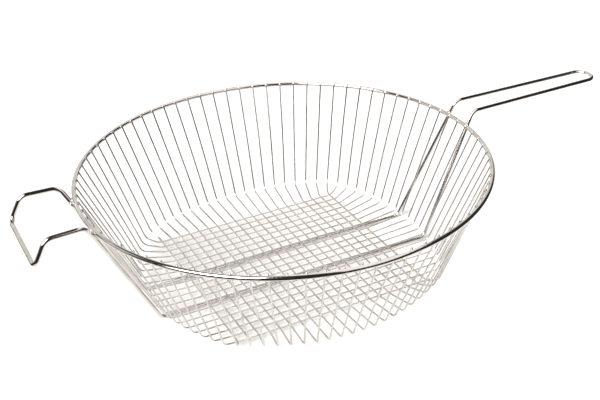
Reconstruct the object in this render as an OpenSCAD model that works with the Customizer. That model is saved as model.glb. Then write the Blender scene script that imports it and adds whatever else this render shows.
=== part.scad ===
// Round wire basket with a flat square-grid bottom, one long loop handle and a rest hook.
// The origin is on the basket's axis, on the plane that it stands on. +X points along the handle.

/* [Rim] */
// Outside diameter of the rim ring
rim_d = 356; // [340:1:380]
// Diameter of the rim's wire
rim_wire_d = 4; // [3.5:0.1:5]
// Height of the rim wire's centre above the table
rim_z = 101.5; // [90:0.5:115]

/* [Mesh] */
// Diameter of each mesh wire
mesh_wire_d = 1.5; // [1.3:0.1:1.7]
// Number of mesh wires in each direction
wire_count = 20; // [20]
// Distance between neighbouring mesh wires in the bottom grid
mesh_pitch = 9.3; // [9:0.1:9.6]
// Diameter of the circle on which the mesh turns up into the wall, at the middle of a side
base_d = 258; // [252:1:264]
// How much further out that turn lies at the corners of the grid
corner_bulge = 10; // [6:1:12]
// How far the mesh rises between the grid and the turn, at the middle of a side
base_rise = 2.2; // [1:0.1:4]
// How much more it rises at the corners of the grid
corner_rise = 3.6; // [2:0.1:5]
// Inside bend of a mesh wire, measured at its centre line
mesh_bend_r = 5; // [3:0.5:7]
// Length of the wire end that stands past the weld at the rim
end_stub = 1.8; // [0.5:0.1:3]

/* [Handle] */
// Diameter of the wire that forms the handle and the two runners under the basket
handle_wire_d = 3.5; // [3:0.1:4]
// Distance between the two runners under the basket
runner_spacing = 46.5; // [44:0.5:50]
// Distance between the handle's legs where they pass the rim
leg_spacing = 29; // [26:0.5:34]
// Distance between the handle's legs at its round end
tip_spacing = 22; // [20:0.5:26]
// Distance from the axis to the end of the handle
handle_reach = 331; // [300:1:350]
// Height of the handle's centre line above that of the rim
handle_lift = 11; // [8:0.5:14]
// Centre-line radius of the handle's bend above the rim
handle_bend_r = 9; // [7:0.5:12]

/* [Hook] */
// Diameter of the hook's wire
hook_wire_d = 4; // [3.5:0.1:4.5]
// Distance between the hook's legs where they are welded to the rim
hook_foot_spacing = 62; // [60:1:64]
// Distance between the hook's legs at their first bend
hook_top_spacing = 74; // [70:1:76]
// Width of the hook's cross bar
hook_bar_spacing = 79; // [77:1:82]
// Distance from the axis to the hook's first bend
hook_top_reach = 183.5; // [182:0.5:186]
// Distance from the axis to the hook's second bend
hook_out_reach = 214; // [208:1:220]
// Distance from the axis to the hook's cross bar
hook_bar_reach = 225; // [221:1:232]
// Height of the hook's flat stretch above the rim
hook_lift = 10.5; // [8:0.5:14]
// Depth of the cross bar below the rim
hook_drop = 10; // [6:0.5:16]
// Length of the hook's legs below the rim
hook_tail = 7.5; // [5:0.5:10]
// Centre-line radius of the hook's first and second bends
hook_bend_r = 10; // [7:0.5:11]
// Centre-line radius of the cross bar's corners
hook_corner_r = 6.5; // [5:0.5:8]

/* [Hidden] */
// Wires that are welded together sink this far into each other
weld_sink = 0.1;
// The wire ends along the rim fill the whole circle, a quarter of them on each side
wall_step = 90 / wire_count;
// Centre line of the rim ring
rim_r = (rim_d - rim_wire_d) / 2;
// Heights of the layers: the runners stand on the table, long wires lie on them, cross wires on those
runner_z = handle_wire_d / 2;
long_z = handle_wire_d + mesh_wire_d / 2 - weld_sink;
cross_z = long_z + mesh_wire_d - weld_sink;
// The mesh wires leave the grid just outside its last crossing, in a bend that is never shorter than this
grid_edge = (wire_count - 1) / 2 * mesh_pitch + 2 * mesh_wire_d;
grid_bend_r = 14;
shortest_bend = 2;
// A bend is this much thicker than the straight wire, whose ends reach this far into it
bend_swell = 0.02;
tuck = 0.12;
// The runners turn up just outside the mesh
runner_bend_x = base_d / 2 - 0.5;
runner_bend_r = 7;
runner_hook_spacing = 50;
// The runners' ends stop level with the rim's upper half on the hook side
runner_end = 1;
// Lean of the wall from upright
wall_lean = atan2(rim_r - base_d / 2, rim_z);
end_bend_r = tip_spacing / 2 - 0.5;
$fn = 48;

function two_digits(i) = str(i < 10 ? "0" : "", i);
cross_names = [for (i = [1:wire_count]) str("cross_wire_", two_digits(i))];
long_names = [for (i = [1:wire_count]) str("long_wire_", two_digits(i))];

function unit(v) = v / norm(v);

// Half of the angle that the wire turns by at corner b of the line a-b-c
function half_turn(a, b, c) = (180 - acos(unit(a - b) * unit(c - b))) / 2;

// Centre-line radius of that corner's bend: r, or more where the bend would be too short
function bend_r(a, b, c, r) = max(r, shortest_bend * 90 / PI / half_turn(a, b, c));

// Distance from corner b to the ends of its bend
function setback(a, b, c, r) = bend_r(a, b, c, r) * tan(half_turn(a, b, c));

module bar(a, b, d) {
    v = b - a;
    translate(a)
        rotate([0, acos(v.z / norm(v)), atan2(v.y, v.x)])
            cylinder(h = norm(v), d = d);
}

// The round bend at corner b of the line a-b-c
module bend(a, b, c, r, d) {
    to_a = unit(a - b);
    to_c = unit(c - b);
    centre = b + unit(to_a + to_c) * bend_r(a, b, c, r) / cos(half_turn(a, b, c));
    x = unit(b + to_a * setback(a, b, c, r) - centre);
    y = -to_a;
    z = cross(x, y);
    multmatrix([[x.x, y.x, z.x, centre.x], [x.y, y.y, z.y, centre.y], [x.z, y.z, z.z, centre.z], [0, 0, 0, 1]])
        rotate_extrude(angle = 2 * half_turn(a, b, c))
            translate([bend_r(a, b, c, r), 0])
                circle(d = d + bend_swell);
}

// A wire of diameter d bent along points p, with centre-line radius r[i] at inner point i
module bent_wire(p, r, d) {
    last = len(p) - 1;
    back = [for (i = [0:last]) i == 0 || i == last ? 0 : setback(p[i - 1], p[i], p[i + 1], r[i]) - tuck];
    union() {
        for (i = [0:last - 1]) {
            along = unit(p[i + 1] - p[i]);
            bar(p[i] + along * back[i], p[i + 1] - along * back[i + 1], d);
        }
        for (i = [1:last - 1])
            bend(p[i - 1], p[i], p[i + 1], r[i], d);
    }
}

// Point at distance radius and angle from the axis, at height z
function polar(radius, angle, z) = [radius * cos(angle), radius * sin(angle), z];

// Half of a mesh wire's line, from the grid to the rim, for the wire numbered k at height z
function wire_angle(k) = (k - (wire_count + 1) / 2) * wall_step;
function corner_share(k) = pow(wire_angle(k) / 45, 2);
function turn_r(k) = base_d / 2 + corner_bulge * corner_share(k);
function turn_z(k, z) = z + base_rise + corner_rise * corner_share(k);
weld_gap = (rim_wire_d + mesh_wire_d) / 2 - weld_sink;
function reach_to_rim(k, z) = norm([rim_r - turn_r(k), rim_z - turn_z(k, z)]);
function wall_slope(k, z) =
    atan2(rim_z - turn_z(k, z), rim_r - turn_r(k)) + asin(weld_gap / reach_to_rim(k, z));
function wall_length(k, z) = sqrt(pow(reach_to_rim(k, z), 2) - pow(weld_gap, 2)) + end_stub;
function half_line(k, z) = [
    [grid_edge, (k - (wire_count + 1) / 2) * mesh_pitch, z],
    polar(turn_r(k), wire_angle(k), turn_z(k, z)),
    polar(
        turn_r(k) + wall_length(k, z) * cos(wall_slope(k, z)),
        wire_angle(k),
        turn_z(k, z) + wall_length(k, z) * sin(wall_slope(k, z))
    )
];

// One mesh wire along X: up one wall, across the bottom and up the other wall
module mesh_wire(k, z) {
    side = half_line(k, z);
    flipped = [for (p = side) [-p.x, p.y, p.z]];
    turn_bend = mesh_bend_r * (1 + corner_share(k));
    bent_wire(
        [flipped[2], flipped[1], flipped[0], side[0], side[1], side[2]],
        [0, turn_bend, grid_bend_r, grid_bend_r, turn_bend, 0],
        mesh_wire_d
    );
}

module long_wire(k) {
    color("gainsboro")
        mesh_wire(k, long_z);
}

module cross_wire(k) {
    color("silver")
        rotate([0, 0, 90])
            mesh_wire(k, cross_z);
}

module rim_ring() {
    color("darkgray")
        rotate_extrude($fn = 180)
            translate([rim_r, rim_z])
                circle(d = rim_wire_d, $fn = 48);
}

// Distance from the axis at which a wire of diameter d leans against the outside of the rim ring
function outside_r(d) = rim_r + ((rim_wire_d + d) / 2 - weld_sink) / cos(wall_lean);
function outside_point(d, spacing) = [sqrt(pow(outside_r(d), 2) - pow(spacing / 2, 2)), spacing / 2, rim_z];

// The handle, its legs and both runners are one wire, bent in half at the end of the handle
module handle_wire() {
    at_rim = outside_point(handle_wire_d, leg_spacing);
    foot = [runner_bend_x, runner_spacing / 2, runner_z];
    up = (at_rim - foot) / (at_rim.z - foot.z);
    shoulder = at_rim + up * handle_lift;
    tip = [handle_reach - handle_wire_d / 2, tip_spacing / 2, rim_z + handle_lift];
    hook_side = outside_point(handle_wire_d, runner_hook_spacing);
    free_end = [-hook_side.x, hook_side.y, hook_side.z + runner_end];
    half = [free_end, [-foot.x, foot.y, foot.z], foot, shoulder, tip];
    other = [for (i = [4:-1:0]) [half[i].x, -half[i].y, half[i].z]];
    radii = [0, runner_bend_r, runner_bend_r, handle_bend_r, end_bend_r];
    color("dimgray")
        bent_wire(concat(half, other), concat(radii, [for (i = [4:-1:0]) radii[i]]), handle_wire_d);
}

module rest_hook() {
    at_rim = outside_point(hook_wire_d, hook_foot_spacing);
    foot = [-at_rim.x, at_rim.y, at_rim.z];
    top = [-hook_top_reach, hook_top_spacing / 2, rim_z + hook_lift];
    down = (foot - top) / hook_lift;
    tail = foot + down * hook_tail;
    bar_share = (hook_out_reach - hook_top_reach) / (hook_bar_reach - hook_top_reach);
    out_y = (hook_top_spacing + (hook_bar_spacing - hook_top_spacing) * bar_share) / 2;
    out = [-hook_out_reach, out_y, rim_z + hook_lift];
    low = [-hook_bar_reach, hook_bar_spacing / 2, rim_z - hook_drop];
    half = [tail, top, out, low];
    other = [for (i = [3:-1:0]) [half[i].x, -half[i].y, half[i].z]];
    radii = [0, hook_bend_r, hook_bend_r, hook_corner_r];
    color("dimgray")
        bent_wire(concat(half, other), concat(radii, [for (i = [3:-1:0]) radii[i]]), hook_wire_d);
}

rim_ring();
handle_wire();
rest_hook();
for (i = [1:wire_count]) {
    cross_wire(i);
    long_wire(i);
}
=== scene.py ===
"""Round wire basket: plated wires, welds, finishes and a studio stage built around the fixed frame."""

import math
import random

import bpy
from bpy.props import FloatProperty, FloatVectorProperty, IntProperty, PointerProperty
from mathutils import Matrix, Quaternion, Vector
from mathutils.kdtree import KDTree


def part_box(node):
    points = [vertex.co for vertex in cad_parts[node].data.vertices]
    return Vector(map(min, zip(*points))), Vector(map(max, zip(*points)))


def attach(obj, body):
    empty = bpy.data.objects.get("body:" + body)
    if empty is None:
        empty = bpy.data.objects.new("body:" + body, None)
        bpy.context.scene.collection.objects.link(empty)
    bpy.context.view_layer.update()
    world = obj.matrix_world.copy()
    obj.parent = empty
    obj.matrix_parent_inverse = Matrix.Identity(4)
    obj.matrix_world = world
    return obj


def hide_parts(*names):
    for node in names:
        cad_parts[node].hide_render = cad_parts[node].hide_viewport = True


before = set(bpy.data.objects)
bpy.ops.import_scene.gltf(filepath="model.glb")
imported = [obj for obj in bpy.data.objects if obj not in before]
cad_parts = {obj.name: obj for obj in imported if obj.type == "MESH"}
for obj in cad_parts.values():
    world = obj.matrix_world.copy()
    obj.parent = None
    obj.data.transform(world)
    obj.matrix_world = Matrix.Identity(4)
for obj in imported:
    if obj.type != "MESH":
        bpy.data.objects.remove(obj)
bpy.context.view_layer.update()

bl_info = {
    "name": "Wire basket",
    "version": (1, 0, 0),
    "blender": (4, 5, 0),
    "location": "View3D > Sidebar > Wire basket",
    "description": "Builds a welded, plated wire basket with a loop handle and a rest hook, and its stage",
    "category": "Object",
}

MM = 0.001
UP = Vector((0, 0, 1))
ROOT = "root"

# Sides of a heavy wire and of a mesh wire, and steps round the rim ring
HEAVY_SIDES = 24
MESH_SIDES = 12
RIM_STEPS = 480

# Half length, width and height of a weld's lump, as shares of its wire's diameter
GRID_LUMP = (0.66, 0.66, 0.264)
RIM_LUMP = (0.95, 0.75, 0.3)
HEAVY_LUMP = (0.8, 0.62, 0.22)
RUNNER_LUMP = (1.3, 0.8, 0.35)
# How much the lumps differ in size, turn in radians, and swell towards their wires' corners
LUMP_UNEVEN = 0.08
LUMP_TURN = 0.2
LUMP_SWELL = 0.07

# Length of a cut end's rounding and height of its dome, in diameters, and its share of the radius
END_NICK = 0.14
END_DOME = 0.03
END_WIDTH = 0.84

# How far the heat of a weld reaches, in diameters, and how much of it a cut end and a lump have
HEAT_REACH = 1.1
END_HEAT = 0.5
LUMP_HEAT = 0.9
# Each wire has its own tone from 0 to 1, which shifts its dull patches; all lumps have this one
LUMP_TONE = 0.5

rim_low, rim_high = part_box("rim_ring")
handle_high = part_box("handle_wire")[1]


def colour_property(name, description, default):
    return FloatVectorProperty(
        name=name, description=description, default=default, subtype="COLOR", size=4, min=0, max=1
    )


def length_property(name, description, default):
    return FloatProperty(name=name, description=description, default=default, unit="LENGTH", min=0)


def angle_property(name, description, degrees):
    return FloatProperty(
        name=name, description=description, default=math.radians(degrees), subtype="ANGLE", unit="ROTATION"
    )


class RimSizes(bpy.types.PropertyGroup):
    diameter: length_property("Diameter", "Outside diameter of the rim ring", rim_high.x - rim_low.x)
    wire: length_property("Wire", "Diameter of the ring's wire", rim_high.z - rim_low.z)
    height: length_property("Height", "Height of the wire's centre", (rim_high.z + rim_low.z) / 2)
    sink: length_property("Sink", "How far welded wires sink into each other", 0.1 * MM)


class MeshSizes(bpy.types.PropertyGroup):
    wire: length_property("Wire", "Diameter of each mesh wire", 1.5 * MM)
    count: IntProperty(name="Count", description="Mesh wires in each direction", default=20)
    pitch: length_property("Pitch", "Distance between neighbours in the bottom grid", 9.3 * MM)
    base: length_property("Base", "Diameter of the circle where the mesh turns up", 258 * MM)
    corner_bulge: length_property("Corner bulge", "How much further out the corners turn", 10 * MM)
    base_rise: length_property("Base rise", "Rise from the grid to the turn", 2.2 * MM)
    corner_rise: length_property("Corner rise", "How much more the corners rise", 3.6 * MM)
    turn_radius: length_property("Turn radius", "Bend between bottom and wall", 5 * MM)
    grid_radius: length_property("Grid radius", "Bend at the edge of the grid", 14 * MM)
    end_stub: length_property("End stub", "Wire end past the weld at the rim", 1.8 * MM)
    sway: length_property("Sway", "Largest bow of a wall wire from a straight line", 0.35 * MM)


class HandleSizes(bpy.types.PropertyGroup):
    wire: length_property("Wire", "Diameter of the handle's wire", 3.5 * MM)
    runner_spacing: length_property("Runner spacing", "Distance between the runners", 46.5 * MM)
    runner_ends: length_property("Runner ends", "Distance between the runners' ends", 50 * MM)
    leg_spacing: length_property("Leg spacing", "Distance between the legs at the rim", 29 * MM)
    tip_spacing: length_property("Tip spacing", "Distance between the legs at the tip", 22 * MM)
    reach: length_property("Reach", "Distance from the axis to the handle's end", handle_high.x)
    lift: length_property("Lift", "Rise of the handle above the rim", 11 * MM)
    bend: length_property("Bend", "Radius of the bend above the rim", 9 * MM)
    runner_bend: length_property("Runner bend", "Radius of the bend under the basket", 7 * MM)
    runner_inset: length_property("Runner inset", "How far inside the mesh's turn it lies", 0.5 * MM)
    runner_rise: length_property("Runner rise", "Rise of the runners' ends past the rim's centre", 1 * MM)
    tip_flat: length_property("Tip flat", "Straight stretch between the tip's two bends", 1 * MM)


class HookSizes(bpy.types.PropertyGroup):
    wire: length_property("Wire", "Diameter of the hook's wire", 4 * MM)
    foot_spacing: length_property("Foot spacing", "Distance between the legs at the rim", 62 * MM)
    top_spacing: length_property("Top spacing", "Distance between the legs at the first bend", 74 * MM)
    bar_spacing: length_property("Bar spacing", "Width of the cross bar", 79 * MM)
    top_reach: length_property("Top reach", "Distance from the axis to the first bend", 183.5 * MM)
    out_reach: length_property("Out reach", "Distance from the axis to the second bend", 214 * MM)
    bar_reach: length_property("Bar reach", "Distance from the axis to the cross bar", 225 * MM)
    lift: length_property("Lift", "Height of the flat stretch above the rim", 10.5 * MM)
    drop: length_property("Drop", "Depth of the cross bar below the rim", 10 * MM)
    tail: length_property("Tail", "Length of the legs below the rim", 7.5 * MM)
    bend: length_property("Bend", "Radius of the first and second bends", 10 * MM)
    corner: length_property("Corner", "Radius of the cross bar's corners", 6.5 * MM)


class FinishLooks(bpy.types.PropertyGroup):
    rim: colour_property("Rim", "Plating on the rim ring", (0.62, 0.60, 0.58, 1))
    heavy: colour_property("Heavy wire", "Plating on the handle and the hook", (0.61, 0.59, 0.57, 1))
    mesh: colour_property("Mesh", "Plating on the mesh wires", (0.59, 0.57, 0.55, 1))
    heat: colour_property("Heat tint", "Straw-brown tint beside the welds", (0.30, 0.24, 0.19, 1))
    dull: colour_property("Dull patches", "Plating where it has gone dull", (0.44, 0.42, 0.40, 1))


class StageLooks(bpy.types.PropertyGroup):
    floor: colour_property("Floor", "The pale floor", (0.93, 0.93, 0.93, 1))
    floor_near: length_property("Floor near", "From the axis to the floor's near edge", 0.23)
    floor_far: length_property("Floor far", "From the axis to the floor's far edge", 3.0)
    near_width: length_property("Near width", "Width of the floor at its near edge", 0.62)
    far_width: length_property("Far width", "Width of the floor at its far edge", 1.9)
    lamp: FloatProperty(name="Lamp", description="Brightness of the tall soft lamp", default=12.0, min=0)
    lamp_colour: colour_property("Lamp colour", "Colour of the tall soft lamp", (1, 0.985, 0.96, 1))
    strip: FloatProperty(
        name="Strip", description="Power of the strip lamp above", default=2.8, unit="POWER", min=0
    )
    strip_colour: colour_property("Strip colour", "Colour of the strip lamp", (1, 0.95, 0.93, 1))
    strip_place: FloatVectorProperty(
        name="Strip place", description="Middle of the strip lamp", default=(0.21, -0.275, 0.6),
        subtype="TRANSLATION", size=3,
    )
    strip_width: length_property("Strip width", "Size of the strip lamp along the handle", 0.38)
    strip_length: length_property("Strip length", "Size of the strip lamp across the handle", 1.65)
    wall: colour_property("Wall", "The pale wall behind the stage", (1.0, 0.96, 0.92, 1))
    room: colour_property("Room", "The dim room around the stage", (0.035, 0.03, 0.028, 1))
    aim: FloatVectorProperty(
        name="Aim", description="Point that the camera looks at", default=(0.0057, -0.0187, 0.0738),
        subtype="TRANSLATION", size=3,
    )
    azimuth: angle_property("Azimuth", "Viewing angle round the basket", -25.39)
    elevation: angle_property("Elevation", "Viewing angle above the table", 29.09)
    roll: angle_property("Roll", "Lean of the camera", 2.53)
    distance: length_property("Distance", "From the camera to the point it looks at", 0.8718)
    lens: FloatProperty(name="Lens", description="Focal length", default=61.3, unit="CAMERA")


# ---------------------------------------------------------------- centre lines


def bend(before, corner, after, radius, shortest=2 * MM):
    """Points along the round bend at corner, which is never shorter than shortest."""
    to_before = (before - corner).normalized()
    to_after = (after - corner).normalized()
    half_turn = (math.pi - to_before.angle(to_after)) / 2
    radius = max(radius, shortest / 2 / half_turn)
    centre = corner + (to_before + to_after).normalized() * radius / math.cos(half_turn)
    spoke = corner + to_before * radius * math.tan(half_turn) - centre
    steps = max(3, math.ceil(2 * half_turn / math.radians(6)))
    points = []
    for i in range(steps + 1):
        turned = 2 * half_turn * i / steps
        points.append(centre + spoke * math.cos(turned) - to_before * radius * math.sin(turned))
    return points


def bent_line(corners, radii, spacing):
    """A wire's centre line through corners, with bends of those radii and points every spacing."""
    stretches = [[corners[0]]]
    for before, corner, after, radius in zip(corners, corners[1:], corners[2:], radii):
        stretches.append(bend(before, corner, after, radius))
    stretches.append([corners[-1]])
    line = [corners[0]]
    for last, following in zip(stretches, stretches[1:]):
        start, end = last[-1], following[0]
        steps = max(1, round((end - start).length / spacing))
        line += [start.lerp(end, i / steps) for i in range(1, steps)]
        line += following
    return line


def polar(radius, angle, z):
    """The point at that radius and angle round the basket's axis, at height z."""
    return Vector((radius * math.cos(angle), radius * math.sin(angle), z))


def mirrored(points):
    """points, then the same points mirrored in Y and in turn from the last."""
    return points + [Vector((p.x, -p.y, p.z)) for p in reversed(points)]


def rim_radius(sizes):
    """Radius of the rim ring's centre line."""
    return (sizes.rim.diameter - sizes.rim.wire) / 2


def layer_heights(sizes):
    """Heights of the long wires, which lie on the runners, and of the cross wires on them."""
    long_z = sizes.handle.wire + sizes.mesh.wire / 2 - sizes.rim.sink
    return long_z, long_z + sizes.mesh.wire - sizes.rim.sink


def wire_angle(mesh, k):
    """Where mesh wire number k ends on its quarter of the rim, counted from the quarter's middle."""
    return math.radians(90 / mesh.count) * (k - (mesh.count + 1) / 2)


class WallLine:
    """How mesh wire number k turns up from the bottom at height z and leans on the inside of the rim."""

    def __init__(self, sizes, k, z):
        mesh, rim = sizes.mesh, sizes.rim
        self.angle = wire_angle(mesh, k)
        share = (self.angle / math.radians(45)) ** 2
        self.grid = Vector(
            ((mesh.count - 1) / 2 * mesh.pitch + 2 * mesh.wire, (k - (mesh.count + 1) / 2) * mesh.pitch, z)
        )
        self.turn_r = mesh.base / 2 + mesh.corner_bulge * share
        self.turn_z = z + mesh.base_rise + mesh.corner_rise * share
        self.turn_radius = mesh.turn_radius * (1 + share)
        out, up = rim_radius(sizes) - self.turn_r, rim.height - self.turn_z
        gap = (rim.wire + mesh.wire) / 2 - rim.sink
        self.slope = math.atan2(up, out) + math.asin(gap / math.hypot(out, up))
        self.to_weld = math.sqrt(out**2 + up**2 - gap**2)
        self.length = self.to_weld + mesh.end_stub

    def on_wall(self, length, off=0.0):
        """The point that far up the wall from the turn, and off to the rim's side of the wire."""
        radius = self.turn_r + length * math.cos(self.slope) + off * math.sin(self.slope)
        height = self.turn_z + length * math.sin(self.slope) - off * math.cos(self.slope)
        return polar(radius, self.angle, height)

    def corners(self):
        return [self.grid, self.on_wall(0), self.on_wall(self.length)]


def turned(point, quarter):
    """point, or the same point of a wire that lies across, a quarter turn round."""
    return Vector((-point.y, point.x, point.z)) if quarter else point


def mesh_line(sizes, k, z, quarter, chance):
    """Centre line of one mesh wire, across the bottom and up both walls, where it bows slightly."""
    wall = WallLine(sizes, k, z)
    side = wall.corners()
    flipped = [Vector((-p.x, p.y, p.z)) for p in reversed(side)]
    radii = [wall.turn_radius, sizes.mesh.grid_radius, sizes.mesh.grid_radius, wall.turn_radius]
    line = bent_line(flipped + side, radii, sizes.mesh.pitch / 4)
    bows = {sign: (chance.uniform(-1, 1), chance.uniform(-0.6, 0.6)) for sign in (-1, 1)}
    top = wall.on_wall(wall.to_weld).z
    start = wall.turn_z + wall.turn_radius / 2
    swayed = []
    for p in line:
        share = min(1, max(0, (p.z - start) / (top - start)))
        aside, outward = bows[1 if p.x > 0 else -1]
        bow = sizes.mesh.sway * math.sin(math.pi * share) ** 2
        flat = Vector((p.x, p.y, 0)).normalized()
        swayed.append(turned(p + (UP.cross(flat) * aside + flat * outward) * bow, quarter))
    return swayed


def beside_rim(sizes, diameter, spacing):
    """Where a heavy wire leans on the outside of the rim, at half its spacing from the middle plane."""
    lean = math.atan2(rim_radius(sizes) - sizes.mesh.base / 2, sizes.rim.height)
    radius = rim_radius(sizes) + ((sizes.rim.wire + diameter) / 2 - sizes.rim.sink) / math.cos(lean)
    return Vector((math.sqrt(radius**2 - (spacing / 2) ** 2), spacing / 2, sizes.rim.height))


def handle_line(sizes):
    """One wire: a runner from the hook side, up past the rim, out to the handle's end and back."""
    handle = sizes.handle
    at_rim = beside_rim(sizes, handle.wire, handle.leg_spacing)
    foot = Vector((sizes.mesh.base / 2 - handle.runner_inset, handle.runner_spacing / 2, handle.wire / 2))
    shoulder = at_rim + (at_rim - foot) / (at_rim.z - foot.z) * handle.lift
    tip = Vector((handle.reach - handle.wire / 2, handle.tip_spacing / 2, sizes.rim.height + handle.lift))
    end = beside_rim(sizes, handle.wire, handle.runner_ends)
    free_end = Vector((-end.x, end.y, end.z + handle.runner_rise))
    half = [free_end, Vector((-foot.x, foot.y, foot.z)), foot, shoulder, tip]
    tip_bend = (handle.tip_spacing - handle.tip_flat) / 2
    radii = [handle.runner_bend, handle.runner_bend, handle.bend, tip_bend]
    return bent_line(mirrored(half), radii + radii[::-1], spacing=4 * MM)


def hook_line(sizes):
    """The hook's wire, from the tail of one leg over the rim, round the cross bar and back."""
    hook, rim_z = sizes.hook, sizes.rim.height
    at_rim = beside_rim(sizes, hook.wire, hook.foot_spacing)
    foot = Vector((-at_rim.x, at_rim.y, at_rim.z))
    top = Vector((-hook.top_reach, hook.top_spacing / 2, rim_z + hook.lift))
    tail = foot + (foot - top) / hook.lift * hook.tail
    share = (hook.out_reach - hook.top_reach) / (hook.bar_reach - hook.top_reach)
    out_y = (hook.top_spacing + (hook.bar_spacing - hook.top_spacing) * share) / 2
    out = Vector((-hook.out_reach, out_y, rim_z + hook.lift))
    low = Vector((-hook.bar_reach, hook.bar_spacing / 2, rim_z - hook.drop))
    radii = [hook.bend, hook.bend, hook.corner]
    return bent_line(mirrored([tail, top, out, low]), radii + radii[::-1], spacing=3 * MM)


# ---------------------------------------------------------------- welds


class Weld:
    """A spot where two wires are welded: its centre, the wires' directions and half its lump's sizes."""

    def __init__(self, centre, along, across, wire, lump):
        self.centre = centre
        self.along = along.normalized()
        self.up = self.along.cross(across).normalized()
        self.across = self.up.cross(self.along)
        self.half = [share * wire for share in lump]


def grid_welds(sizes):
    """The crossings of the bottom grid."""
    mesh = sizes.mesh
    z = sum(layer_heights(sizes)) / 2
    steps = [(k - (mesh.count - 1) / 2) * mesh.pitch for k in range(mesh.count)]
    x, y = Vector((1, 0, 0)), Vector((0, 1, 0))
    return [Weld(Vector((a, b, z)), x, y, mesh.wire, GRID_LUMP) for a in steps for b in steps]


def rim_welds(sizes):
    """Where each wall wire meets the inside of the rim."""
    welds = []
    mesh, rim = sizes.mesh, sizes.rim
    for quarter, z in enumerate(layer_heights(sizes)):
        for k in range(1, mesh.count + 1):
            wall = WallLine(sizes, k, z)
            spot = wall.on_wall(wall.to_weld, mesh.wire / 2 - rim.sink / 2)
            climb = wall.on_wall(1) - wall.on_wall(0)
            for flip in (1, -1):
                centre = turned(Vector((spot.x * flip, spot.y, spot.z)), quarter)
                upward = turned(Vector((climb.x * flip, climb.y, climb.z)), quarter)
                round_rim = UP.cross(centre)
                welds.append(Weld(centre, round_rim, upward, mesh.wire, RIM_LUMP))
    return welds


def heavy_welds(sizes):
    """Where the handle, the runners' ends and the hook are welded to the outside of the rim."""
    spots = []
    for wire, spacing, side in (
        (sizes.handle.wire, sizes.handle.leg_spacing, 1),
        (sizes.handle.wire, sizes.handle.runner_ends, -1),
        (sizes.hook.wire, sizes.hook.foot_spacing, -1),
    ):
        at_rim = beside_rim(sizes, wire, spacing)
        for y in (at_rim.y, -at_rim.y):
            leg = Vector((at_rim.x * side, y, 0))
            centre = leg.normalized() * (sizes.rim.diameter / 2) + UP * at_rim.z
            spots.append(Weld(centre, UP.cross(leg), UP, wire, HEAVY_LUMP))
    return spots


def runner_welds(sizes):
    """Where the runners are welded to the long wires that lie on them."""
    mesh, handle = sizes.mesh, sizes.handle
    x, y = Vector((1, 0, 0)), Vector((0, 1, 0))
    spots = [
        Vector(((k - mesh.count / 2 + 1) * mesh.pitch, side * handle.runner_spacing / 2, handle.wire))
        for k in range(0, mesh.count - 1, 2)
        for side in (-1, 1)
    ]
    return [Weld(spot, x, y, mesh.wire, RUNNER_LUMP) for spot in spots]


def all_welds(sizes):
    """Every weld of the basket."""
    return grid_welds(sizes) + rim_welds(sizes) + heavy_welds(sizes) + runner_welds(sizes)


# ---------------------------------------------------------------- meshes


class Shape:
    """Points, faces and the finish's own coordinates of one piece."""

    def __init__(self):
        self.points, self.faces, self.space, self.heat, self.tone = [], [], [], [], []

    def point(self, place, space, heat, tone):
        """Adds a point with the finish's values there."""
        self.points.append(place)
        self.space.append(space)
        self.heat.append(heat)
        self.tone.append(tone)
        return len(self.points) - 1

    def band(self, low, high):
        """Faces between two rings of points."""
        n = len(low)
        self.faces += [(low[i], low[(i + 1) % n], high[(i + 1) % n], high[i]) for i in range(n)]

    def fan(self, ring, centre):
        """Faces from a ring of points to a point in its middle."""
        n = len(ring)
        self.faces += [(ring[i], ring[(i + 1) % n], centre) for i in range(n)]

    def piece(self, name, material, slot, *nodes):
        """Makes the object, which rides on the root body and stands for the CAD nodes."""
        mesh = bpy.data.meshes.new(name)
        mesh.from_pydata(self.points, [], self.faces)
        mesh.attributes.new("wire_space", "FLOAT_VECTOR", "POINT").data.foreach_set(
            "vector", [x for v in self.space for x in v]
        )
        mesh.attributes.new("heat", "FLOAT", "POINT").data.foreach_set("value", self.heat)
        mesh.attributes.new("tone", "FLOAT", "POINT").data.foreach_set("value", self.tone)
        mesh.shade_smooth()
        mesh.materials.append(material)
        mesh.validate()
        obj = bpy.data.objects.new(name, mesh)
        bpy.context.scene.collection.objects.link(obj)
        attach(obj, ROOT)
        if nodes:
            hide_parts(*nodes)
        return obj


def weld_tree(welds):
    """The welds' centres, sorted so that the nearest is found fast."""
    tree = KDTree(len(welds))
    for i, weld in enumerate(welds):
        tree.insert(weld.centre, i)
    tree.balance()
    return tree


def heat_at(tree, place, reach):
    """1 at a weld, falling to 0 a few reaches away from the nearest."""
    distance = tree.find(place)[2]
    return math.exp(-((distance / reach) ** 2))


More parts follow.
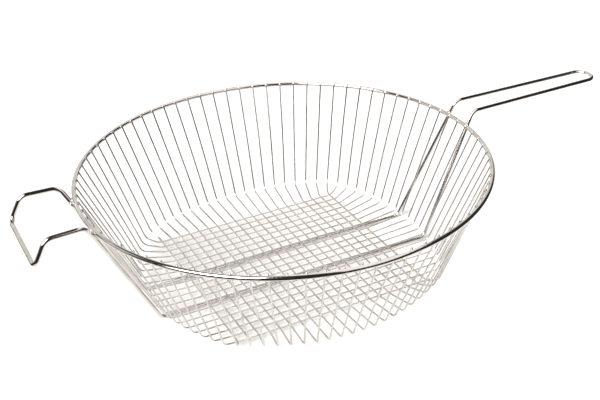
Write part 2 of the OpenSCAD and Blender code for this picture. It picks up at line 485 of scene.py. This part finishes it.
def sweep(shape, line, diameter, sides, tree, tone, closed=False):
    """Adds a round wire along line, with slightly domed cut ends unless it is closed."""
    last = len(line) - 1
    if not closed:
        nick = END_NICK * diameter
        line = (
            [line[0], line[0].lerp(line[1], nick / (line[1] - line[0]).length)]
            + line[1:-1]
            + [line[-1].lerp(line[-2], nick / (line[-1] - line[-2]).length), line[-1]]
        )
        last += 2
    normal = None
    length = 0.0
    rings = []
    for i, place in enumerate(line):
        before = line[i - 1] if i or closed else place
        after = line[(i + 1) % len(line)] if i < last or closed else place
        tangent = (after - before).normalized()
        if normal is None:
            normal = UP if abs(tangent.z) < 0.9 else Vector((1, 0, 0))
        normal = (normal - tangent * normal.dot(tangent)).normalized()
        side = tangent.cross(normal)
        length += (place - before).length if i else 0
        radius = diameter / 2 * (END_WIDTH if not closed and i in (0, last) else 1)
        heat = heat_at(tree, place, HEAT_REACH * diameter)
        ring = []
        for j in range(sides):
            around = 2 * math.pi * j / sides
            spoke = normal * math.cos(around) + side * math.sin(around)
            space = (length, radius * math.cos(around), radius * math.sin(around))
            ring.append(shape.point(place + spoke * radius, space, heat, tone))
        rings.append(ring)
    for low, high in zip(rings, rings[1:]):
        shape.band(low[::-1], high[::-1])
    if closed:
        shape.band(rings[-1][::-1], rings[0][::-1])
        return
    for ring, end, inner in ((rings[0], line[0], line[1]), (rings[-1][::-1], line[-1], line[-2])):
        crown = end + (end - inner).normalized() * END_DOME * diameter
        shape.fan(ring, shape.point(crown, (0, 0, 0), END_HEAT, tone))


def nugget(shape, weld, chance, sides=12, rings=5):
    """Adds the smooth lump of metal squeezed out at a weld, fuller towards its two wires' corners."""
    sizes = [half * chance.uniform(1 - LUMP_UNEVEN, 1 + LUMP_UNEVEN) for half in weld.half]
    phase = chance.uniform(-LUMP_TURN, LUMP_TURN)
    levels = []
    for i in range(1, rings):
        lift = math.pi * i / rings
        ring = []
        for j in range(sides):
            around = 2 * math.pi * j / sides
            full = 1 + LUMP_SWELL * math.cos(4 * around + phase)
            local = (
                sizes[0] * full * math.sin(lift) * math.cos(around),
                sizes[1] * full * math.sin(lift) * math.sin(around),
                -sizes[2] * math.cos(lift),
            )
            place = weld.centre + weld.along * local[0] + weld.across * local[1] + weld.up * local[2]
            ring.append(shape.point(place, local, LUMP_HEAT, LUMP_TONE))
        levels.append(ring)
    low = shape.point(weld.centre - weld.up * sizes[2], (0, 0, -sizes[2]), LUMP_HEAT, LUMP_TONE)
    high = shape.point(weld.centre + weld.up * sizes[2], (0, 0, sizes[2]), LUMP_HEAT, LUMP_TONE)
    shape.fan(levels[0][::-1], low)
    for lower, upper in zip(levels, levels[1:]):
        shape.band(lower, upper)
    shape.fan(levels[-1], high)


def must_match(piece, node, tolerance):
    """Raises an error unless the piece fills the same box as the CAD node that it stands for."""
    node_low, node_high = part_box(node)
    points = [v.co for v in piece.data.vertices]
    for axis in range(3):
        low = min(p[axis] for p in points)
        high = max(p[axis] for p in points)
        if max(abs(low - node_low[axis]), abs(high - node_high[axis])) > tolerance:
            raise RuntimeError(f"{piece.name} doesn't fill the box of {node}: {low, high} on axis {axis}")


# ---------------------------------------------------------------- finishes


def new_group(name, inputs, outputs):
    """An empty node group with those sockets, and its input and output nodes."""
    group = bpy.data.node_groups.new(name, "ShaderNodeTree")
    for label, kind, value in inputs:
        group.interface.new_socket(label, in_out="INPUT", socket_type=kind).default_value = value
    for label, kind in outputs:
        group.interface.new_socket(label, in_out="OUTPUT", socket_type=kind)
    return group, group.nodes.new("NodeGroupInput"), group.nodes.new("NodeGroupOutput")


def node_in(tree, kind, values=(), **settings):
    """A new node with its settings and the values of its inputs."""
    node = tree.nodes.new(kind)
    for key, value in settings.items():
        setattr(node, key, value)
    for key, value in dict(values).items():
        if isinstance(value, bpy.types.NodeSocket):
            tree.links.new(value, node.inputs[key])
        else:
            node.inputs[key].default_value = value
    return node


def product(tree, first, second):
    """Two values multiplied, each a socket or a number."""
    return node_in(tree, "ShaderNodeMath", {0: first, 1: second}, operation="MULTIPLY").outputs[0]


def draw_lines_group():
    """Fine lines that drawing through a die leaves along a wire."""
    group, given, made = new_group(
        "Draw lines",
        [
            ("Wire Space", "NodeSocketVector", (0, 0, 0)),
            ("Along", "NodeSocketFloat", 9.0),
            ("Across", "NodeSocketFloat", 2600.0),
        ],
        [("Height", "NodeSocketFloat"), ("Mask", "NodeSocketFloat")],
    )
    stretch = node_in(
        group, "ShaderNodeCombineXYZ",
        {0: given.outputs["Along"], 1: given.outputs["Across"], 2: given.outputs["Across"]},
    )
    place = node_in(
        group, "ShaderNodeVectorMath",
        {0: given.outputs["Wire Space"], 1: stretch.outputs[0]}, operation="MULTIPLY",
    )
    lines = node_in(group, "ShaderNodeTexNoise", {"Vector": place.outputs[0], "Scale": 1.0, "Detail": 3.0})
    mask = node_in(
        group, "ShaderNodeMapRange",
        {"Value": lines.outputs["Fac"], "From Min": 0.52, "From Max": 0.68},
    )
    group.links.new(lines.outputs["Fac"], made.inputs["Height"])
    group.links.new(mask.outputs[0], made.inputs["Mask"])


def haze_group():
    """Soft patches where bright plating is a little duller."""
    group, given, made = new_group(
        "Plating haze",
        [
            ("Position", "NodeSocketVector", (0, 0, 0)),
            ("Tone", "NodeSocketFloat", 0.5),
            ("Scale", "NodeSocketFloat", 45.0),
            ("Amount", "NodeSocketFloat", 0.5),
        ],
        [("Mask", "NodeSocketFloat")],
    )
    shift = node_in(
        group, "ShaderNodeVectorMath",
        {0: given.outputs["Position"], 1: given.outputs["Tone"]}, operation="ADD",
    )
    patches = node_in(
        group, "ShaderNodeTexNoise",
        {"Vector": shift.outputs[0], "Scale": given.outputs["Scale"], "Detail": 4.0, "Roughness": 0.6},
    )
    mask = node_in(
        group, "ShaderNodeMapRange",
        {"Value": patches.outputs["Fac"], "From Min": 0.42, "From Max": 0.72},
        interpolation_type="SMOOTHSTEP",
    )
    group.links.new(product(group, mask.outputs[0], given.outputs["Amount"]), made.inputs["Mask"])


def heat_group():
    """The straw-brown ring of heat beside a weld, broken up by noise."""
    group, given, made = new_group(
        "Weld heat",
        [
            ("Position", "NodeSocketVector", (0, 0, 0)),
            ("Heat", "NodeSocketFloat", 0.0),
            ("Amount", "NodeSocketFloat", 0.5),
        ],
        [("Mask", "NodeSocketFloat")],
    )
    noise = node_in(
        group, "ShaderNodeTexNoise", {"Vector": given.outputs["Position"], "Scale": 700.0, "Detail": 3.0}
    )
    uneven = node_in(
        group, "ShaderNodeMapRange", {"Value": noise.outputs["Fac"], "From Min": 0.3, "From Max": 0.7}
    )
    broken = product(group, given.outputs["Heat"], uneven.outputs[0])
    group.links.new(product(group, broken, given.outputs["Amount"]), made.inputs["Mask"])


def specks_group():
    """Tiny pits and specks in the plating."""
    group, given, made = new_group(
        "Plating specks",
        [("Position", "NodeSocketVector", (0, 0, 0)), ("Scale", "NodeSocketFloat", 900.0)],
        [("Mask", "NodeSocketFloat")],
    )
    cells = node_in(
        group, "ShaderNodeTexVoronoi", {"Vector": given.outputs["Position"], "Scale": given.outputs["Scale"]}
    )
    dots = node_in(
        group, "ShaderNodeMapRange",
        {"Value": cells.outputs["Distance"], "From Min": 0.16, "From Max": 0.05},
    )
    rare = node_in(
        group, "ShaderNodeMapRange", {"Value": cells.outputs["Color"], "From Min": 0.55, "From Max": 0.6}
    )
    group.links.new(product(group, dots.outputs[0], rare.outputs[0]), made.inputs["Mask"])


def use_group(tree, name, **values):
    """The shared group called name, placed in a material with its own values."""
    node = tree.nodes.new("ShaderNodeGroup")
    node.node_tree = bpy.data.node_groups[name]
    for key, value in values.items():
        socket = node.inputs[key.replace("_", " ")]
        if isinstance(value, bpy.types.NodeSocket):
            tree.links.new(value, socket)
        else:
            socket.default_value = value
    return node


def mixed(tree, share, first, second):
    """A colour between two colours, each a socket or a value."""
    return node_in(tree, "ShaderNodeMix", {0: share, 6: first, 7: second}, data_type="RGBA").outputs[2]


def plated_steel(name, colour, looks, smooth, rough, line_depth, heat, haze):
    """Bright plating on steel wire, from roughness smooth to rough, with shares of heat tint and haze."""
    material = bpy.data.materials.new(name)
    material.use_nodes = True
    tree = material.node_tree
    shader = tree.nodes["Principled BSDF"]
    shader.inputs["Metallic"].default_value = 1.0
    position = node_in(tree, "ShaderNodeTexCoord").outputs["Object"]
    space = node_in(tree, "ShaderNodeAttribute", attribute_name="wire_space").outputs["Vector"]
    heated = node_in(tree, "ShaderNodeAttribute", attribute_name="heat").outputs["Fac"]
    tone = node_in(tree, "ShaderNodeAttribute", attribute_name="tone").outputs["Fac"]

    lines = use_group(tree, "Draw lines", Wire_Space=space)
    patches = use_group(tree, "Plating haze", Position=position, Tone=tone, Amount=haze)
    burnt = use_group(tree, "Weld heat", Position=position, Heat=heated, Amount=heat)
    specks = use_group(tree, "Plating specks", Position=position)

    dulled = mixed(tree, patches.outputs["Mask"], tuple(colour), tuple(looks.dull))
    tinted = mixed(tree, burnt.outputs["Mask"], dulled, tuple(looks.heat))
    spotted = mixed(tree, specks.outputs["Mask"], tinted, tuple(looks.heat))
    tree.links.new(spotted, shader.inputs["Base Color"])

    worn = node_in(
        tree, "ShaderNodeMath",
        {0: patches.outputs["Mask"], 1: lines.outputs["Mask"]}, operation="ADD", use_clamp=True,
    )
    blotched = node_in(
        tree, "ShaderNodeMath",
        {0: worn.outputs[0], 1: burnt.outputs["Mask"]}, operation="MAXIMUM",
    )
    roughness = node_in(
        tree, "ShaderNodeMapRange", {"Value": blotched.outputs[0], "To Min": smooth, "To Max": rough}
    )
    tree.links.new(roughness.outputs[0], shader.inputs["Roughness"])

    pitted = node_in(
        tree, "ShaderNodeMath", {0: lines.outputs["Height"], 1: specks.outputs["Mask"]}, operation="SUBTRACT"
    )
    bump = node_in(
        tree, "ShaderNodeBump",
        {"Height": pitted.outputs[0], "Strength": line_depth, "Distance": 0.02 * MM},
    )
    tree.links.new(bump.outputs[0], shader.inputs["Normal"])


# ---------------------------------------------------------------- operators


class SizeGroups:
    """The property groups of the scene, under short names."""

    def __init__(self, scene):
        self.rim, self.mesh = scene.wire_basket_rim, scene.wire_basket_mesh
        self.handle, self.hook = scene.wire_basket_handle, scene.wire_basket_hook


class WIREBASKET_OT_finishes(bpy.types.Operator):
    """Make the shared node groups and the plated finishes"""

    bl_idname = "wirebasket.finishes"
    bl_label = "Finishes"

    def execute(self, context):
        draw_lines_group()
        haze_group()
        heat_group()
        specks_group()
        looks = context.scene.wire_basket_finish
        plated_steel(
            "rim_plating", looks.rim, looks,
            smooth=0.07, rough=0.22, line_depth=0.25, heat=0.35, haze=0.5,
        )
        plated_steel(
            "heavy_plating", looks.heavy, looks,
            smooth=0.07, rough=0.24, line_depth=0.3, heat=0.35, haze=0.5,
        )
        plated_steel(
            "mesh_plating", looks.mesh, looks,
            smooth=0.1, rough=0.3, line_depth=0.3, heat=0.45, haze=0.7,
        )
        plated_steel(
            "weld_plating", looks.mesh, looks,
            smooth=0.18, rough=0.42, line_depth=0.4, heat=0.6, haze=0.9,
        )
        return {"FINISHED"}


class WIREBASKET_OT_rim_ring(bpy.types.Operator):
    """Build the rim ring"""

    bl_idname = "wirebasket.rim_ring"
    bl_label = "Rim ring"

    def execute(self, context):
        sizes = SizeGroups(context.scene)
        turns = [2 * math.pi * i / RIM_STEPS for i in range(RIM_STEPS)]
        line = [polar(rim_radius(sizes), turn, sizes.rim.height) for turn in turns]
        tree = weld_tree(rim_welds(sizes) + heavy_welds(sizes))
        shape = Shape()
        sweep(shape, line, sizes.rim.wire, HEAVY_SIDES, tree, tone=0.3, closed=True)
        piece = shape.piece("basket_rim_ring", bpy.data.materials["rim_plating"], "rim_wire", "rim_ring")
        must_match(piece, "rim_ring", tolerance=0.1 * MM)
        return {"FINISHED"}


class WIREBASKET_OT_mesh_wires(bpy.types.Operator):
    """Build the long wires and the cross wires of the bottom and the wall"""

    bl_idname = "wirebasket.mesh_wires"
    bl_label = "Mesh wires"

    def execute(self, context):
        sizes = SizeGroups(context.scene)
        tree = weld_tree(all_welds(sizes))
        chance = random.Random(7)
        material = bpy.data.materials["mesh_plating"]
        for quarter, kind in enumerate(("long_wire", "cross_wire")):
            for k in range(1, sizes.mesh.count + 1):
                node = f"{kind}_{k:02d}"
                line = mesh_line(sizes, k, layer_heights(sizes)[quarter], quarter, chance)
                shape = Shape()
                sweep(shape, line, sizes.mesh.wire, MESH_SIDES, tree, tone=chance.random())
                piece = shape.piece(f"basket_{node}", material, "mesh_wire", node)
                must_match(piece, node, tolerance=0.5 * MM)
        return {"FINISHED"}


class WIREBASKET_OT_handle_wire(bpy.types.Operator):
    """Build the one wire that forms the handle, its legs and the two runners"""

    bl_idname = "wirebasket.handle_wire"
    bl_label = "Handle wire"

    def execute(self, context):
        sizes = SizeGroups(context.scene)
        shape = Shape()
        tree = weld_tree(heavy_welds(sizes))
        sweep(shape, handle_line(sizes), sizes.handle.wire, HEAVY_SIDES, tree, tone=0.6)
        material = bpy.data.materials["heavy_plating"]
        piece = shape.piece("basket_handle_wire", material, "heavy_wire", "handle_wire")
        must_match(piece, "handle_wire", tolerance=0.3 * MM)
        return {"FINISHED"}


class WIREBASKET_OT_rest_hook(bpy.types.Operator):
    """Build the hook that rests on the edge of a pot"""

    bl_idname = "wirebasket.rest_hook"
    bl_label = "Rest hook"

    def execute(self, context):
        sizes = SizeGroups(context.scene)
        shape = Shape()
        tree = weld_tree(heavy_welds(sizes))
        sweep(shape, hook_line(sizes), sizes.hook.wire, HEAVY_SIDES, tree, tone=0.1)
        material = bpy.data.materials["heavy_plating"]
        piece = shape.piece("basket_rest_hook", material, "heavy_wire", "rest_hook")
        must_match(piece, "rest_hook", tolerance=0.3 * MM)
        return {"FINISHED"}


class WIREBASKET_OT_welds(bpy.types.Operator):
    """Build the weld lumps of the grid, the rim, the heavy wires and the runners"""

    bl_idname = "wirebasket.welds"
    bl_label = "Welds"

    def execute(self, context):
        sizes = SizeGroups(context.scene)
        chance = random.Random(11)
        for name, welds, slot in (
            ("grid_welds", grid_welds(sizes), "mesh_wire"),
            ("rim_welds", rim_welds(sizes), "rim_wire"),
            ("heavy_welds", heavy_welds(sizes), "heavy_wire"),
            ("runner_welds", runner_welds(sizes), "heavy_wire"),
        ):
            shape = Shape()
            for weld in welds:
                nugget(shape, weld, chance)
            shape.piece(name, bpy.data.materials["weld_plating"], slot)
        return {"FINISHED"}


def heading(looks):
    """The level directions ahead of the camera and to its right."""
    cosine, sine = math.cos(looks.azimuth), math.sin(looks.azimuth)
    return Vector((-sine, cosine, 0)), Vector((cosine, sine, 0))


def make_floor(looks):
    """A pale sheet on the floor, which starts just in front of the basket."""
    ahead, right = heading(looks)
    near, far = ahead * -looks.floor_near, ahead * looks.floor_far
    near_side, far_side = right * looks.near_width / 2, right * looks.far_width / 2
    outline = [near - near_side, far - far_side, far + far_side, near + near_side]
    mesh = bpy.data.meshes.new("studio_floor")
    mesh.from_pydata(outline, [], [tuple(reversed(range(len(outline))))])
    floor = bpy.data.objects.new("studio_floor", mesh)
    bpy.context.scene.collection.objects.link(floor)
    material = bpy.data.materials.new("pale_floor")
    material.use_nodes = True
    shader = material.node_tree.nodes["Principled BSDF"]
    shader.inputs["Base Color"].default_value = tuple(looks.floor)
    shader.inputs["Roughness"].default_value = 0.8
    shader.inputs["Specular IOR Level"].default_value = 0.2
    mesh.materials.append(material)


def past_edge(group, low, high, soft):
    """A mask that rises softly from 0, where high equals low, to 1, where it is soft more."""
    inside = node_in(group, "ShaderNodeMath", {0: high, 1: low}, operation="SUBTRACT").outputs[0]
    return node_in(
        group, "ShaderNodeMapRange", {"Value": inside, "From Min": 0.0, "From Max": soft},
        interpolation_type="SMOOTHSTEP",
    ).outputs[0]


def panel_group():
    """A soft-edged panel of the sky around the direction Middle, level with the horizon."""
    group, given, made = new_group(
        "Studio panel",
        [
            ("Middle", "NodeSocketVector", (1, 0, 0)),
            ("Side", "NodeSocketVector", (0, 1, 0)),
            ("Half Width", "NodeSocketFloat", 0.4),
            ("Bottom", "NodeSocketFloat", 0.0),
            ("Top", "NodeSocketFloat", 0.6),
            ("Soft", "NodeSocketFloat", 0.05),
        ],
        [("Mask", "NodeSocketFloat")],
    )
    way = node_in(group, "ShaderNodeTexCoord").outputs["Generated"]
    forward, sideways = [
        node_in(
            group, "ShaderNodeVectorMath", {0: way, 1: given.outputs[name]}, operation="DOT_PRODUCT"
        ).outputs["Value"]
        for name in ("Middle", "Side")
    ]
    off = node_in(group, "ShaderNodeMath", {0: sideways, 1: forward}, operation="ARCTAN2").outputs[0]
    off = node_in(group, "ShaderNodeMath", {0: off}, operation="ABSOLUTE").outputs[0]
    height = node_in(group, "ShaderNodeSeparateXYZ", {0: way}).outputs["Z"]
    height = node_in(group, "ShaderNodeMath", {0: height}, operation="ARCSINE").outputs[0]
    soft = given.outputs["Soft"]
    wide = past_edge(group, off, given.outputs["Half Width"], soft)
    below = past_edge(group, height, given.outputs["Top"], soft)
    above = past_edge(group, given.outputs["Bottom"], height, soft)
    mask = product(group, product(group, wide, below), above)
    group.links.new(mask, made.inputs["Mask"])


def panel(tree, azimuth, half_width, bottom, top, soft):
    """The mask of a panel of the sky, all in degrees; azimuth is counted from +X towards +Y."""
    turn = math.radians(azimuth)
    node = use_group(
        tree, "Studio panel",
        Middle=(math.cos(turn), math.sin(turn), 0), Side=(-math.sin(turn), math.cos(turn), 0),
        Half_Width=math.radians(half_width), Bottom=math.radians(bottom), Top=math.radians(top),
        Soft=math.radians(soft),
    )
    return node.outputs["Mask"]


def make_studio(looks):
    """The studio around the stage: a dim room, a pale back wall and a tall soft lamp on the left.

    The camera itself sees plain white behind the floor.
    """
    world = bpy.data.worlds.new("studio")
    bpy.context.scene.world = world
    world.use_nodes = True
    tree = world.node_tree
    background = tree.nodes["Background"]
    panel_group()
    wall_mask = panel(tree, azimuth=99, half_width=66, bottom=-8, top=44, soft=8)
    lamp_mask = panel(tree, azimuth=205, half_width=27, bottom=21, top=68, soft=5)
    lamp = tuple(c * looks.lamp for c in looks.lamp_colour)
    lit_room = mixed(tree, wall_mask, tuple(looks.room), tuple(looks.wall))
    lit_room = mixed(tree, lamp_mask, lit_room, lamp)
    path = node_in(tree, "ShaderNodeLightPath")
    shown = mixed(tree, path.outputs["Is Camera Ray"], lit_room, (1, 1, 1, 1))
    tree.links.new(shown, background.inputs["Color"])


def make_strip(looks):
    """The long, pale strip lamp that hangs above the basket's handle side."""
    light = bpy.data.lights.new("strip_lamp", "AREA")
    light.shape = "RECTANGLE"
    light.size, light.size_y = looks.strip_width, looks.strip_length
    light.energy = looks.strip
    light.color = looks.strip_colour[:3]
    lamp = bpy.data.objects.new("strip_lamp", light)
    lamp.location = looks.strip_place
    lamp.visible_camera = False
    bpy.context.scene.collection.objects.link(lamp)


def make_camera(looks):
    """The camera, turned, tilted and leant as the looks say."""
    camera = bpy.data.objects.new("camera", bpy.data.cameras.new("camera"))
    bpy.context.scene.collection.objects.link(camera)
    camera.data.sensor_width = 36
    camera.data.lens = looks.lens
    camera.data.clip_start = 0.01
    ahead = heading(looks)[0]
    back = UP * math.sin(looks.elevation) - ahead * math.cos(looks.elevation)
    look = (-back).to_track_quat("-Z", "Y") @ Quaternion((0, 0, 1), -looks.roll)
    place = Matrix.Translation(Vector(looks.aim) + back * looks.distance)
    camera.matrix_world = place @ look.to_matrix().to_4x4()
    bpy.context.scene.camera = camera


class WIREBASKET_OT_stage(bpy.types.Operator):
    """Make the pale floor, the studio light and the camera"""

    bl_idname = "wirebasket.stage"
    bl_label = "Stage"

    def execute(self, context):
        looks = context.scene.wire_basket_stage
        make_floor(looks)
        make_studio(looks)
        make_strip(looks)
        make_camera(looks)
        context.scene.view_settings.view_transform = "Standard"
        return {"FINISHED"}


GROUPS = {
    "wire_basket_rim": RimSizes,
    "wire_basket_mesh": MeshSizes,
    "wire_basket_handle": HandleSizes,
    "wire_basket_hook": HookSizes,
    "wire_basket_finish": FinishLooks,
    "wire_basket_stage": StageLooks,
}
OPERATORS = (
    WIREBASKET_OT_stage,
    WIREBASKET_OT_finishes,
    WIREBASKET_OT_rim_ring,
    WIREBASKET_OT_mesh_wires,
    WIREBASKET_OT_handle_wire,
    WIREBASKET_OT_rest_hook,
    WIREBASKET_OT_welds,
)


class WIREBASKET_PT_panel(bpy.types.Panel):
    """The basket's sizes, finishes and build steps"""

    bl_label = "Wire basket"
    bl_idname = "WIREBASKET_PT_panel"
    bl_space_type = "VIEW_3D"
    bl_region_type = "UI"
    bl_category = "Wire basket"

    def draw(self, context):
        for name, group in GROUPS.items():
            box = self.layout.box()
            for key in group.__annotations__:
                box.prop(getattr(context.scene, name), key)
        for operator in OPERATORS:
            self.layout.operator(operator.bl_idname)


def register():
    for cls in (*GROUPS.values(), *OPERATORS, WIREBASKET_PT_panel):
        bpy.utils.register_class(cls)
    for name, group in GROUPS.items():
        setattr(bpy.types.Scene, name, PointerProperty(type=group))


def unregister():
    for name in GROUPS:
        delattr(bpy.types.Scene, name)
    for cls in (WIREBASKET_PT_panel, *OPERATORS, *GROUPS.values()):
        bpy.utils.unregister_class(cls)


def main():
    register()
    for operator in OPERATORS:
        area, name = operator.bl_idname.split(".")
        getattr(getattr(bpy.ops, area), name)()


if __name__ == "__main__":
    main()
